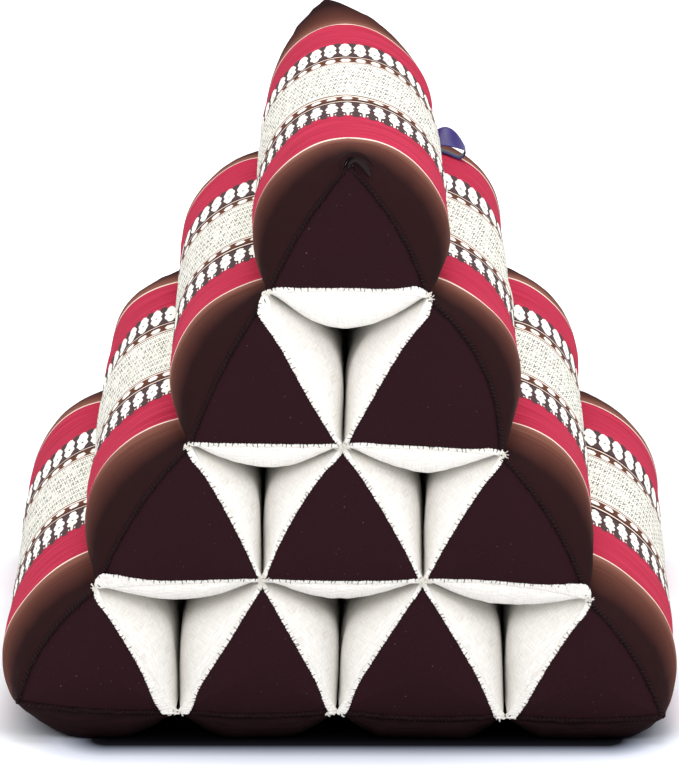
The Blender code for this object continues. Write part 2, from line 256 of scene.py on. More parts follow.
def swell(y, rise, press=1.0):
    """How full a wall is at the depth y: 0 at the end seams, 1 beyond its rounded ends."""
    return min(1.0, press * math.sqrt(1.0 - (1.0 - inwards(y, rise)) ** 2))


def junction(row, place, y):
    """The point where the seam lines of a row meet, at the depth y."""
    shift = SHIFTS[(row, place)]
    back = 0.5 + y / SEAM_LENGTH
    settled = inwards(y) ** 2 * (3.0 - 2.0 * inwards(y))
    moved = []
    for axis in ("dx", "dz"):
        groove = (1.0 - back) * shift["near_" + axis] + back * shift["far_" + axis]
        seam = shift["seam_" + axis]
        if y > 0.0:
            seam = BACK_TIP[axis] if row == 0 else groove
        moved.append((1.0 - settled) * seam + settled * groove)
    x = (place - row / 2.0) * SIDE + moved[0] / 1000.0 - MIDDLE_SHIFT
    z = BASE_SEAM_HEIGHT + (ROWS - row) * SIDE * math.sqrt(3.0) / 2.0 + moved[1] / 1000.0
    return complex(x, z)


def conic(start, control, finish, weight, steps):
    """A rounded corner from start to finish; a greater weight fills the corner at control more."""
    t = np.linspace(0.0, 1.0, steps + 1)
    a = (1.0 - t) ** 2
    c = 2.0 * weight * t * (1.0 - t)
    b = t * t
    return (a * start + c * control + b * finish) / (a + b + c)


def off_chord(start, finish, along, out):
    """A point beside the line from start to finish, out on its right-hand side."""
    return start + (finish - start) * (along - 1j * out)


def run_lengths(points):
    """The length along the line at each of its points."""
    return np.concatenate([[0.0], np.cumsum(np.abs(np.diff(points)))])


def resample(points, shares):
    """Points on the line at the given shares of its length."""
    own = run_lengths(points)
    own = own / own[-1]
    return np.interp(shares, own, points.real) + 1j * np.interp(shares, own, points.imag)


def arch_half(apex, foot, side, y):
    """One half of the top tube's outline, from the ridge down to its groove."""
    back = 0.5 + y / SEAM_LENGTH
    narrower = back ** 3
    half_width = (1.0 - narrower) * ARCH_NEAR_WIDTH[side] + narrower * ARCH_FAR_WIDTH[side]
    middle = (junction(1, 0, y) + junction(1, 1, y)).real / 2.0
    ridge = apex + 1j * RIDGE_LIFT * SIDE
    waist = complex(middle + side * half_width * SIDE, foot.imag + ARCH_WAIST * SIDE)
    shoulder = complex(waist.real, ridge.imag)
    tuck = complex(waist.real, foot.imag + ARCH_TUCK * SIDE)
    upper = conic(ridge, shoulder, waist, ARCH_WEIGHT, DENSE_STEPS)
    lower = conic(waist, tuck, foot, TUCK_WEIGHT, DENSE_STEPS)
    return np.concatenate([upper, lower[1:]])


def is_inner(row, place, wall):
    """True where the wall faces a gap between tubes and not the outside."""
    return {"left": place > 0, "base": row < ROWS, "right": place < row - 1}[wall]


def meeting_point(row, place, y):
    """Where the three walls around the gap under a tube would meet if they filled it."""
    upper = (junction(row, place, y) + junction(row, place + 1, y)) / 2.0
    foot = junction(row + 1, place + 1, y)
    return upper + GAP_OF_ROW[row]["meeting_depth"] * (foot - upper)


def wall_ends(row, place, wall, y):
    """The wall's two corners, in the order in which the outline passes them."""
    top = junction(row - 1, place, y)
    left = junction(row, place, y)
    right = junction(row, place + 1, y)
    return {"left": (top, left), "base": (left, right), "right": (right, top)}[wall]


def full_wall(row, place, wall, y):
    """A wall of a tube where it is full, as a dense line from one corner to the next."""
    start, finish = wall_ends(row, place, wall, y)
    if is_inner(row, place, wall):
        gap_row, gap_place = {
            "left": (row - 1, place - 1),
            "base": (row, place),
            "right": (row - 1, place),
        }[wall]
        gap = GAP_OF_ROW[gap_row]
        if wall != "base":
            meeting = meeting_point(gap_row, gap_place, y)
            return conic(start, meeting, finish, gap["side_fill"], DENSE_STEPS)
        foot = junction(row + 1, place + 1, y)
        middle = (start + finish) / 2.0
        reach = gap["crown_depth"] * (1.0 + CROWN_WEIGHT) / CROWN_WEIGHT
        return conic(start, middle + reach * (foot - middle), finish, CROWN_WEIGHT, DENSE_STEPS)
    if wall == "base":
        control = off_chord(start, finish, 0.5, BASE_OUT)
        dense = conic(start, control, finish, BASE_WEIGHT, DENSE_STEPS)
        return dense.real + 1j * np.maximum(dense.imag, 0.0)
    if row == 1:
        if wall == "left":
            return arch_half(start, finish, -1.0, y)
        return arch_half(finish, start, 1.0, y)[::-1]
    back = 0.5 + y / SEAM_LENGTH
    slope = SLOPE_OF_ROW[row]
    lower = SLOPE_ALONG - SLOPE_LIFT_BEHIND * back
    along = lower if wall == "left" else 1.0 - lower
    control = off_chord(start, finish, along, slope[wall + "_out"] + slope["more_behind"] * back)
    return conic(start, control, finish, SLOPE_WEIGHT, DENSE_STEPS)


def seam_wall(row, place, wall, y):
    """The same wall at an end seam, which is nearly straight."""
    start, finish = wall_ends(row, place, wall, y)
    if is_inner(row, place, wall):
        bow = GAP_BOW_OF_TUBE[(row, place)][wall]
    elif wall == "base":
        bow = BASE_BOW
    else:
        bow = BOW_OF_ROW[row][wall + "_bow"]
    return conic(start, off_chord(start, finish, 0.5, 2.0 * bow), finish, 1.0, DENSE_STEPS)


def wall_points(row, place, wall, y, steps):
    """A wall's points at the depth y, evenly spaced, both corners included."""
    rise = END_RISE
    press = 1.0
    if wall == "base":
        rise = BASE_RISE if row == ROWS else CROWN_RISE
    elif is_inner(row, place, wall):
        press = GAP_PRESS
    fullness = swell(y, rise, press)
    shares = np.linspace(0.0, 1.0, steps + 1)
    full = resample(full_wall(row, place, wall, y), shares)
    seam = resample(seam_wall(row, place, wall, y), shares)
    points = (1.0 - fullness) * seam + fullness * full
    if row == 1 and wall != "base":
        away = np.abs(points - junction(0, 0, y)) / HOOD_HALF_WIDTH
        near = np.clip(1.0 - away, 0.0, 1.0) ** 1.4
        points = points + 1j * HOOD_RISE * near * math.exp(-(((SEAM_Y + y) / HOOD_DEPTH) ** 2))
    return points


def outline_normals(points, closed=True):
    """Unit vectors out of the outline, which lies on their left."""
    if closed:
        along = np.roll(points, -1) - np.roll(points, 1)
    else:
        along = np.gradient(points)
    return -1j * along / np.maximum(np.abs(along), 1e-9)


def inset(points, depths):
    """The closed outline with each edge moved inwards by its own depth and its corners mitred."""
    after = np.roll(points, -1) - points
    after = after / np.maximum(np.abs(after), 1e-9)
    before = np.roll(after, 1)
    depths = np.asarray(depths, float)
    depths_before = np.roll(depths, 1)
    cross = before.conjugate() * after
    bent = np.abs(cross.imag) > 0.02
    slide = np.where(
        bent, (depths_before * cross.real - depths) / np.where(bent, cross.imag, 1.0), 0.0
    )
    slide = np.clip(slide, -MITRE_LIMIT, MITRE_LIMIT)
    return points + 1j * before * depths_before + before * slide


def end_depths():
    """Depths from the seam inwards over the rounded end, even along its curve."""
    turns = np.linspace(0.0, math.pi / 2.0, END_STEPS + 1)
    return END_RISE * (1.0 - np.cos(turns))


def stations(bay):
    """The depths of the sections from the front seam to the back one."""
    ends = end_depths()
    body = SEAM_LENGTH - 2.0 * END_RISE
    count = max(2, round(body / bay))
    middle = np.linspace(0.0, body, count + 1)[1:-1] - body / 2.0
    front = -SEAM_Y + ends
    return np.concatenate([front, middle, -front[::-1]])


def waves(u, v, wavelength, seed, count=7):
    """Smooth unevenness of about unit size, as a sum of seeded waves in all directions."""
    draw = np.random.default_rng(seed)
    total = np.zeros(np.broadcast(u, v).shape)
    for _ in range(count):
        heading = draw.uniform(0.0, 2.0 * math.pi)
        own = wavelength * draw.uniform(0.7, 1.6)
        phase = draw.uniform(0.0, 2.0 * math.pi)
        total = total + np.sin(
            (u * math.cos(heading) + v * math.sin(heading)) * 2.0 * math.pi / own + phase
        )
    return total / math.sqrt(count)


def grid_quads(rows, columns, start=0):
    """The faces of a grid of vertices, row after row."""
    i, j = np.meshgrid(np.arange(rows - 1), np.arange(columns - 1), indexing="ij")
    a = start + i * columns + j
    return np.stack([a, a + 1, a + columns + 1, a + columns], axis=-1).reshape(-1, 4)


def add_piece(name, vertices, faces, material, uvs=None, merge=0.0):
    """A smooth mesh object, its material and the cloth's own measure as UVs in metres."""
    mesh = bpy.data.meshes.new(name)
    mesh.from_pydata(np.asarray(vertices, float).tolist(), [], [list(map(int, f)) for f in faces])
    if uvs is not None:
        layer = mesh.uv_layers.new(name="Cloth")
        corner = np.empty(len(mesh.loops), np.int32)
        mesh.loops.foreach_get("vertex_index", corner)
        layer.uv.foreach_set("vector", np.asarray(uvs, np.float32)[corner].ravel())
    solid = bmesh.new()
    solid.from_mesh(mesh)
    if merge > 0.0:
        bmesh.ops.remove_doubles(solid, verts=solid.verts, dist=merge)
    bmesh.ops.recalc_face_normals(solid, faces=solid.faces)
    solid.to_mesh(mesh)
    solid.free()
    mesh.shade_smooth()
    mesh.materials.append(material)
    thing = bpy.data.objects.new(name, mesh)
    bpy.context.scene.collection.objects.link(thing)
    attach(thing, "root")
    return thing


def cloth_length(walls):
    """The nominal length of each wall's cloth, at the cushion's middle."""
    return [run_lengths(full_wall(*wall, 0.0))[-1] for wall in walls]


def slope_walls():
    """The outer walls from the right base corner up over the ridge to the left base corner."""
    right = [(row, row - 1, "right") for row in range(ROWS, 0, -1)]
    left = [(row, 0, "left") for row in range(1, ROWS + 1)]
    return right + left


def base_walls():
    return [(ROWS, place, "base") for place in range(ROWS)]


def outer_outline(y, steps):
    """The whole cushion's closed outline at the depth y."""
    points = [wall_points(*wall, y, steps)[:-1] for wall in slope_walls() + base_walls()]
    return np.concatenate(points)


def cover_relief(u, y, share):
    """How far the cover stands off its smooth curve: soft lumps, puckers at the seams and the grooves."""
    depth = SEAM_Y - np.abs(y)
    bulge = np.sin(math.pi * share)
    calm = np.clip(depth / 0.02, 0.0, 1.0)
    lumps = 0.0008 * waves(u, y, 0.085, 3) * bulge * calm
    rise = 1.0 - np.exp(-depth / 0.003)
    puckers = 0.0007 * waves(u, y * 0.35, 0.011, 5) * np.exp(-depth / 0.013) * rise
    groove = np.exp(-np.minimum(share, 1.0 - share) / 0.10) * np.minimum(share, 1.0 - share) / 0.10
    drawn = 0.0010 * waves(u * 0.2, y, 0.016, 7) * groove * calm
    return lumps + puckers + drawn


def make_outer_cloth(name, nodes, walls, start_wall, material):
    """A sheet of the outer cloth over some of the outer walls, with rolled edges at the end seams."""
    ys = stations(COVER_BAY)
    spans = cloth_length(walls)
    steps = COVER_STEPS
    shares = np.tile(np.arange(steps) / steps, len(walls))
    shares = np.append(shares, 1.0)
    offsets = np.concatenate([[0.0], np.cumsum(spans)])
    u = np.concatenate([offsets[k] + spans[k] * np.arange(steps) / steps for k in range(len(walls))])
    u = np.append(u, offsets[-1])
    ridge = offsets[ROWS] if len(walls) > ROWS else offsets[len(walls) // 2]
    u = u - ridge
    first = start_wall * steps
    last = first + len(walls) * steps
    layers = {"face": [], "back": []}
    rows = []
    rows.append((ys[0], -COVER_ROLL_OUT, COVER_ROLL_IN))
    rows += [(y, 0.0, 0.0) for y in ys]
    rows.append((ys[-1], COVER_ROLL_OUT, COVER_ROLL_IN))
    for y, step_out, drawn_in in rows:
        outer = outer_outline(y, steps)
        count = len(outer)
        normal = outline_normals(outer)
        picked = np.arange(first, last + 1) % count
        relief = np.zeros(count)
        relief[picked[:-1]] = cover_relief(u[:-1], np.full(len(u) - 1, y), shares[:-1])
        lifted = outer + normal * relief
        face = inset(lifted, np.full(count, drawn_in)) if drawn_in else lifted
        back = inset(outer, np.full(count, CLOTH - drawn_in)) + normal * relief
        for side, line in (("face", face), ("back", back)):
            run = line[picked]
            ahead = run[1] - run[0]
            behind = run[-2] - run[-1]
            run[0] += ahead / abs(ahead) * SEAM_TRIM
            run[-1] += behind / abs(behind) * SEAM_TRIM
            z = np.maximum(run.imag, 0.0)
            layers[side].append(np.stack([run.real, np.full(len(run), y + step_out), z], axis=-1))
    face = np.array(layers["face"])
    back = np.array(layers["back"])
    count_rows, count_columns = face.shape[:2]
    vertices = np.concatenate([face.reshape(-1, 3), back.reshape(-1, 3)])
    v = np.array([y + step_out for y, step_out, _ in rows])
    uvs = np.stack(np.broadcast_arrays(u[None, :], v[:, None]), axis=-1).reshape(-1, 2)
    uvs = np.concatenate([uvs, uvs])
    half = count_rows * count_columns
    faces = [grid_quads(count_rows, count_columns), grid_quads(count_rows, count_columns, half)[:, ::-1]]
    for row in (0, count_rows - 1):
        i = row * count_columns + np.arange(count_columns - 1)
        faces.append(np.stack([i, i + 1, half + i + 1, half + i], axis=-1))
    for column in (0, count_columns - 1):
        i = np.arange(count_rows - 1) * count_columns + column
        faces.append(np.stack([i, i + count_columns, half + i + count_columns, half + i], axis=-1))
    thing = add_piece(name, vertices, np.concatenate(faces), material, uvs)
    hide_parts(*nodes)
    return thing


def crowned_rings(ring, y, outward, rings):
    """Points over a crowned end inside the outline ring, and the middle point."""
    middle = ring.mean()
    found = []
    for k in range(1, rings):
        t = k / rings
        inner = middle + (ring - middle) * (1.0 - t)
        rise = CAP_CROWN * (1.0 - (1.0 - t) ** 2.2)
        found.append(np.stack([inner.real, np.full(len(ring), y + outward * rise), inner.imag], axis=-1))
    top = np.array([[middle.real, y + outward * CAP_CROWN, middle.imag]])
    return found, top


def tube_outline(row, place, y, steps, outer_depth):
    """A tube's closed outline under what covers it, with the length along it."""
    points = []
    depths = []
    for wall in ("left", "base", "right"):
        points.append(wall_points(row, place, wall, y, steps)[:-1])
        depths.append(np.full(steps, TOUCH if is_inner(row, place, wall) else outer_depth))
    return inset(np.concatenate(points), np.concatenate(depths))


def casing_relief(row, place, y):
    """Soft gathers of the casing's walls near the end seams and broad unevenness behind them."""
    depth = SEAM_Y - abs(y)
    share = np.tile(np.arange(CASING_STEPS) / CASING_STEPS, 3)
    along = np.arange(3 * CASING_STEPS) / CASING_STEPS * SIDE
    inner = [is_inner(row, place, wall) for wall in ("left", "base", "right")]
    calm = np.sin(math.pi * share) * np.repeat(inner, CASING_STEPS)
    seed = 40 + 3 * row + place
    gathers = 0.00045 * waves(along, 0.35 * y + 0.0 * along, 0.009, seed)
    gathers = gathers * math.exp(-depth / 0.012) * (1.0 - math.exp(-depth / 0.002))
    folds = 0.0007 * waves(along, y + 0.0 * along, 0.045, seed + 50) * (1.0 - math.exp(-depth / 0.010))
    return (gathers + folds) * calm


def make_casing(row, place, material):
    """One stuffed tube in its white cotton casing."""
    ys = stations(CASING_BAY)
    rings = []
    for k, y in enumerate(ys):
        covered = CLOTH + GAP + COVER_ROOM * min(1.0, (SEAM_Y - abs(y)) / COVER_ROOM_DEPTH)
        ring = tube_outline(row, place, y, CASING_STEPS, covered)
        ring = ring + outline_normals(ring) * (casing_relief(row, place, y) - 0.0002)
        depth = y
        if k == 0:
            depth = y + CAP_CLOTH + GAP
        if k == len(ys) - 1:
            depth = y - CAP_CLOTH - GAP
        ring = np.append(ring, ring[0])
        rings.append(np.stack([ring.real, np.full(len(ring), depth), ring.imag], axis=-1))
    grid = np.array(rings)
    count_rows, count_columns = grid.shape[:2]
    vertices = [grid.reshape(-1, 3)]
    middle_ring = grid[count_rows // 2]
    u = run_lengths(middle_ring[:, 0] + 1j * middle_ring[:, 2])
    uvs = [np.stack(np.broadcast_arrays(u[None, :], grid[:, :1, 1]), axis=-1).reshape(-1, 2)]
    faces = [list(f) for f in grid_quads(count_rows, count_columns)]
    total = count_rows * count_columns
    for end, outward in ((0, -1.0), (count_rows - 1, 1.0)):
        ring = grid[end, :-1, 0] + 1j * grid[end, :-1, 2]
        found, top = crowned_rings(ring, grid[end, 0, 1], outward, 5)
        previous = list(range(end * count_columns, end * count_columns + count_columns - 1))
        for inner in found:
            here = list(range(total, total + len(inner)))
            vertices.append(inner)
            uvs.append(inner[:, (0, 2)])
            total += len(inner)
            for i in range(len(here)):
                j = (i + 1) % len(here)
                faces.append([previous[i], previous[j], here[j], here[i]])
            previous = here
        vertices.append(top)
        uvs.append(top[:, (0, 2)])
        for i in range(len(previous)):
            faces.append([previous[i], previous[(i + 1) % len(previous)], total])
        total += 1
    name = f"casing_{row}_{place + 1}"
    thing = add_piece(
        name, np.concatenate(vertices), faces, material, np.concatenate(uvs), 1e-7
    )
    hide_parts(f"tube_{row}_{place + 1}")
    return thing


def make_cap(row, place, end, material):
    """One end cap: thin cloth over a tube's crowned end."""
    outward = -1.0 if end == "front" else 1.0
    seam_y = outward * SEAM_Y
    ring = tube_outline(row, place, seam_y, CASING_STEPS, CLOTH + GAP)
    count = len(ring)
    vertices = []
    faces = []
    total = 0
    starts = []
    for y, rings in ((seam_y, CAP_RINGS), (seam_y - outward * CAP_CLOTH, 4)):
        edge = np.stack([ring.real, np.full(count, y), ring.imag], axis=-1)
        found, top = crowned_rings(ring, y, outward, rings)
        starts.append(total)
        for k, line in enumerate([edge] + found):
            vertices.append(line)
            if k:
                for i in range(count):
                    j = (i + 1) % count
                    faces.append([total - count + i, total - count + j, total + j, total + i])
            total += count
        vertices.append(top)
        for i in range(count):
            faces.append([total - count + i, total - count + (i + 1) % count, total])
        total += 1
    for i in range(count):
        j = (i + 1) % count
        faces.append([starts[0] + i, starts[0] + j, starts[1] + j, starts[1] + i])
    points = np.concatenate(vertices)
    name = f"end_cap_{end}_{row}_{place + 1}"
    thing = add_piece(name, points, faces, material, points[:, (0, 2)])
    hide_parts(f"cap_{end}_{row}_{place + 1}")
    area = 0.5 * abs(float((ring.conjugate() * np.roll(ring, -1)).imag.sum()))
    return thing


class Threads:
    """Round strands of thread, bead and rolled cloth, gathered into one mesh."""

    def __init__(self):
        self.vertices = []
        self.faces = []
        self.uvs = []
        self.total = 0

    def grid(self, points, uvs, closed_across):
        """A tube of points, along by across, closed at both ends."""
        along, across = points.shape[:2]
        index = self.total + np.arange(along * across).reshape(along, across)
        following = np.roll(index, -1, axis=1)
        quads = np.stack([index[:-1], following[:-1], following[1:], index[1:]], axis=-1)
        if not closed_across:
            quads = quads[:, :-1]
        self.faces += quads.reshape(-1, 4).tolist()
        if closed_across:
            self.faces.append(index[0, ::-1].tolist())
            self.faces.append(index[-1].tolist())
        self.vertices.append(points.reshape(-1, 3))
        self.uvs.append(uvs.reshape(-1, 2))
        self.total += along * across

    def strand(self, path, wide, deep, sides=5):
        """A strand along the path, wide in the plane of the seams and deep along Y."""
        path = np.asarray(path, float)
        wide = np.broadcast_to(wide, len(path))
        deep = np.broadcast_to(deep, len(path))
        along = np.gradient(path, axis=0)
        along = along / np.linalg.norm(along, axis=1)[:, None]
        side = np.cross(along, np.array([0.0, 1.0, 0.0]))
        side = side / np.maximum(np.linalg.norm(side, axis=1), 1e-6)[:, None]
        up = np.cross(side, along)
        turns = np.arange(sides) * 2.0 * math.pi / sides
        ring = (
            side[:, None, :] * (wide[:, None] * np.cos(turns))[..., None]
            + up[:, None, :] * (deep[:, None] * np.sin(turns))[..., None]
        )
        run = np.concatenate([[0.0], np.cumsum(np.linalg.norm(np.diff(path, axis=0), axis=1))])
        around = turns * float(wide.mean())
        uvs = np.stack(np.broadcast_arrays(run[:, None], around[None, :]), axis=-1)
        self.grid(path[:, None, :] + ring, uvs, True)

    def make(self, name, material):
        return add_piece(
            name, np.concatenate(self.vertices), self.faces, material, np.concatenate(self.uvs)
        )


def cap_rise(inside):
    """How far the crowned cap stands out at a distance inside its seam."""
    t = np.clip(inside / CAP_INRADIUS, 0.0, 1.0)
    return CAP_CROWN * (1.0 - (1.0 - t) ** 2.2)


def even_line(line, step):
    """The line with even steps, the length along it, and its unit direction."""
    count = max(4, round(run_lengths(line)[-1] / step))
    line = resample(line, np.linspace(0.0, 1.0, count + 1))
    direction = np.gradient(line)
    return line, run_lengths(line), direction / np.abs(direction)


def on_end(points, outward, lift):
    """Points of the plane of an end's seams, lifted outwards from it."""
    return np.stack([points.real, outward * (SEAM_Y + lift), points.imag], axis=-1)


def smooth_path(points, count):
    """A soft curve through a few points, by repeated corner cutting."""
    line = np.array([complex(x, z) for x, z in points])
    for _ in range(3):
        first = line[:-1] * 0.75 + line[1:] * 0.25
        second = line[:-1] * 0.25 + line[1:] * 0.75
        cut = np.stack([first, second], axis=-1).ravel()
        line = np.concatenate([line[:1], cut, line[-1:]])
    return resample(line, np.linspace(0.0, 1.0, count))


def lay_hem(hem, outward, white, ticks, seed):
    """One white hem that laps over a cap, whipped down with thread, and the dark ticks across its edge."""
    draw = np.random.default_rng(seed)
    wall = hem["wall"]
    line, run, direction = even_line(seam_wall(hem["row"], hem["place"], wall, outward * SEAM_Y), HEM_STEP)
    left_over = run[-1] - run
    near_start = np.exp(-((run / (hem["start_reach"] / 1000.0)) ** 2))
    near_finish = np.exp(-((left_over / (hem["finish_reach"] / 1000.0)) ** 2))
    fade_start = np.clip(run / HEM_FADE, 0.0, 1.0) ** 0.7
    fade_finish = np.clip(left_over / HEM_FADE, 0.0, 1.0) ** 0.7
    if hem["row"] == ROWS or (hem["row"] == ROWS - 1 and wall == "base"):
        least = 1.0 if hem["row"] == ROWS else 0.2
        if hem["start_lap"] >= hem["finish_lap"]:
            fade_start = least + (1.0 - least) * np.clip(run / HEM_CORNER_FADE, 0.0, 1.0) ** 0.5
        if hem["finish_lap"] > hem["start_lap"]:
            fade_finish = least + (1.0 - least) * np.clip(left_over / HEM_CORNER_FADE, 0.0, 1.0) ** 0.5
    extra = hem["start_lap"] * near_start * fade_start + hem["finish_lap"] * near_finish * fade_finish
    extra = extra / 1000.0
    heading = 1j * direction
    if hem["row"] == ROWS:
        corner = near_start if wall == "right" else near_finish
        level = -1.0 if wall == "right" else 1.0
        heading = heading * (1.0 - corner) + level * corner
    loose = 0.00012 * waves(run, 0.0 * run, 0.006, seed)
    wander = 0.6 * waves(run, 0.0 * run, 0.012, seed + 1)
    scallop = WHIP_SCALLOP * np.abs(np.sin(math.pi * run / WHIP_PITCH + wander))
    lap = HEM_LAP + extra + scallop + loose
    on_cap = lap[:, None] * np.array(HEM_ACROSS)
    within = np.broadcast_to(-HEM_INSIDE * np.array(HEM_WITHIN), (len(run), len(HEM_WITHIN)))
    inside = np.concatenate([on_cap, within], axis=1)
    puff = HEM_THICKNESS * (1.0 + 0.30 * np.sin(2.0 * math.pi * run / WHIP_PITCH))
    crumpled = np.minimum(extra / 0.003, 1.0)[:, None]
    crumple = 0.00035 * waves(run[:, None], inside, 0.005, seed + 2) * crumpled
    arched = np.clip((lap[:, None] - inside) / HEM_EDGE, 0.0, 1.0) ** 0.5
    drop = HEM_DROP * np.clip(-inside / HEM_INSIDE, 0.0, 1.0) ** 1.5
    rise = cap_rise(np.maximum(inside, 0.0)) - drop
    points = line[:, None] + heading[:, None] * inside
    top = on_end(points, outward, rise + puff[:, None] * arched + np.abs(crumple))
    under = on_end(points, outward, rise - 0.0004)
    both = np.concatenate([top, under[:, ::-1]], axis=1)
    across = np.concatenate([inside, inside[:, ::-1]], axis=1)
    uvs = np.stack(np.broadcast_arrays(run[:, None], across), axis=-1)
    white.grid(both, uvs, True)
    place = draw.uniform(0.001, TICK_PITCH)
    while place < run[-1] - 0.002:
        k = int(np.searchsorted(run, place))
        slant = draw.uniform(-0.0008, 0.0008)
        reach = TICK_LENGTH * draw.uniform(0.6, 1.2)
        outer = lap[k] + 0.0003
        steps = np.linspace(0.0, 1.0, 4)
        depth = outer - reach * steps
        path = line[k] + heading[k] * depth + direction[k] * slant * steps
        lift = cap_rise(np.maximum(depth, 0.0)) + HEM_THICKNESS * np.array([0.3, 1.25, 1.35, 0.9])
        ticks.strand(on_end(path, outward, lift), TICK_RADIUS, TICK_RADIUS, 4)
        place += TICK_PITCH * draw.uniform(0.55, 1.5)


def lay_star(centre, outward, threads, seed, count, reach):
    """Loose thread ends that spread from a knot where corners meet."""
    draw = np.random.default_rng(seed)
    for _ in range(count):
        heading = np.exp(1j * draw.uniform(0.0, 2.0 * math.pi))
        length = reach * draw.uniform(0.45, 1.1)
        bend = draw.uniform(-0.5, 0.5)
        t = np.linspace(0.0, 1.0, 6)
        path = centre + heading * length * (t + 1j * bend * t * t)
        lift = 0.0012 + 0.0009 * np.sin(math.pi * t * 0.8) + draw.uniform(0.0, 0.0005)
        threads.strand(on_end(path, outward, lift), STAR_THREAD, STAR_THREAD, 4)


def lay_knot(centre, outward, threads, seed, count, spread):
    """Short fat loops of gathered cloth and thread around a corner."""
    draw = np.random.default_rng(seed)
    for _ in range(count):
        middle = centre + complex(draw.uniform(-spread, spread), draw.uniform(-0.0010, 0.0022))
        heading = np.exp(1j * draw.uniform(0.0, math.pi))
        t = np.linspace(-1.0, 1.0, 7)
        path = middle + heading * KNOT_REACH * (t + 0.5j * (1.0 - t * t))
        wide = KNOT_THICKNESS * np.sqrt(np.maximum(1.0 - (t * 0.9) ** 2, 0.05))
        threads.strand(on_end(path, outward, np.full(len(t), 0.0012)), wide, wide, 6)


def lay_outer_seam(row, place, wall, outward, roll, stitches, glints, seed):
    """The rolled dark seam between a cap and the outer cloth, with its slanting stitches and short pale
    strands over some of them as painted glints.
    """
    draw = np.random.default_rng(seed)
    line, run, direction = even_line(seam_wall(row, place, wall, outward * SEAM_Y), SEAM_STEP)
    heading = 1j * direction
    uneven = 0.00025 * waves(run, 0.0 * run, 0.009, seed)
    middle = line + heading * (0.0012 + uneven)
    pinched = 0.16 * np.sin(2.0 * math.pi * run / SEAM_PITCH)
    girth = SEAM_ROLL * (1.0 + pinched + 0.10 * waves(run, 0.0 * run, 0.02, seed))
    ends = np.clip(np.minimum(run, run[-1] - run) / 0.004, 0.25, 1.0)
    roll.strand(on_end(middle, outward, np.full(len(run), 0.0001)), girth * ends, girth * 0.8 * ends, 7)
    place_at = draw.uniform(0.001, SEAM_PITCH)
    while place_at < run[-1] - 0.002:
        k = int(np.searchsorted(run, place_at))
        t = np.linspace(0.0, 1.0, 6)
        reach = SEAM_STITCH * draw.uniform(0.7, 1.15)
        depth = -0.0002 + reach * t
        slant = draw.uniform(0.0010, 0.0022)
        path = line[k] + heading[k] * depth + direction[k] * slant * t
        lift = 0.0002 + 0.00105 * np.sin(math.pi * np.clip(t * 0.9 + 0.05, 0.0, 1.0))
        lift = lift + cap_rise(np.maximum(depth - 0.001, 0.0))
        stitches.strand(on_end(path, outward, lift), SEAM_THREAD, SEAM_THREAD, 4)
        # Painted highlight: a short pale strand over part of a dark stitch as its glint, more often in the
        # seam's middle
        middle_share = math.exp(-((run[k] / run[-1] - 0.5) / 0.3) ** 2)
        if wall != "base" and draw.uniform() < GLINT_SHARE * middle_share:
            part = slice(2, 2 + int(draw.integers(2, 4)))
            glints.strand(on_end(path, outward, lift + 0.00014)[part], GLINT_THREAD, GLINT_THREAD, 4)
        place_at += SEAM_PITCH * draw.uniform(0.7, 1.3)


def make_front_pleat(brown_roll, dark_roll):
    """The curled pleat where the cover closes over the top tube's front corner."""
    corner = junction(0, 0, -SEAM_Y)
    lip = corner + smooth_path(PLEAT_LIP, 40) / 1000.0
    t = np.linspace(0.0, 1.0, len(lip))
    girth = PLEAT_GIRTH * np.sqrt(np.clip(np.sin(math.pi * np.clip(t * 0.94 + 0.04, 0.0, 1.0)), 0.02, 1.0))
    brown_roll.strand(on_end(lip, -1.0, 0.0006 + 0.0022 * np.sin(math.pi * t)), girth, girth * 1.3, 8)
    fold = corner + smooth_path(PLEAT_FOLD, 40) / 1000.0
    dark_roll.strand(on_end(fold, -1.0, 0.0006 + 0.0014 * np.sin(math.pi * t)), girth * 1.2, girth * 1.4, 8)


def make_sewing(cotton_hem, brown_cloth, white_thread, dark_thread, painted_glint_thread):
    """Hems, rolled seams, stitches, knots and thread ends at both ends of the cushion."""
    for outward, end in ((-1.0, "front"), (1.0, "back")):
        white = Threads()
        ticks = Threads()
        ends = Threads()
        roll = Threads()
        stitches = Threads()
        glints = Threads()
        for k, hem in enumerate(table(HEM_COLUMNS, HEMS)):
            lay_hem(hem, outward, white, ticks, 100 + k)
        seed = 300
        for row in range(1, ROWS + 1):
            for place, wall in ((0, "left"), (row - 1, "right")):
                lay_outer_seam(row, place, wall, outward, roll, stitches, glints, seed)
                seed += 1
        for place in range(ROWS):
            lay_outer_seam(ROWS, place, "base", outward, roll, stitches, glints, seed)
            seed += 1
        for row in range(1, ROWS):
            for place in range(row + 1):
                corner = junction(row, place, outward * SEAM_Y)
                inner = 0 < place < row
                if inner or end == "front":
                    reach = STAR_REACH if inner else STAR_REACH * 0.7
                    lay_star(corner, outward, ends, 500 + row * 7 + place, 16 if inner else 7, reach)
                lay_knot(corner, outward, ends, 600 + row * 7 + place, 5 if inner else 3, KNOT_SPREAD)
        for place in range(1, ROWS):
            corner = junction(ROWS, place, outward * SEAM_Y)
            lay_knot(corner, outward, ends, 700 + place, 9, KNOT_SPREAD_BELOW)
        if end == "front":
            make_front_pleat(roll, stitches)
        white.make(f"white_hems_{end}", cotton_hem)
        ends.make(f"white_thread_ends_{end}", white_thread)
        ticks.make(f"dark_ticks_{end}", dark_thread)
        roll.make(f"rolled_seam_{end}", brown_cloth)
        stitches.make(f"dark_stitches_{end}", dark_thread)
        glints.make(f"thread_glints_{end}", painted_glint_thread)


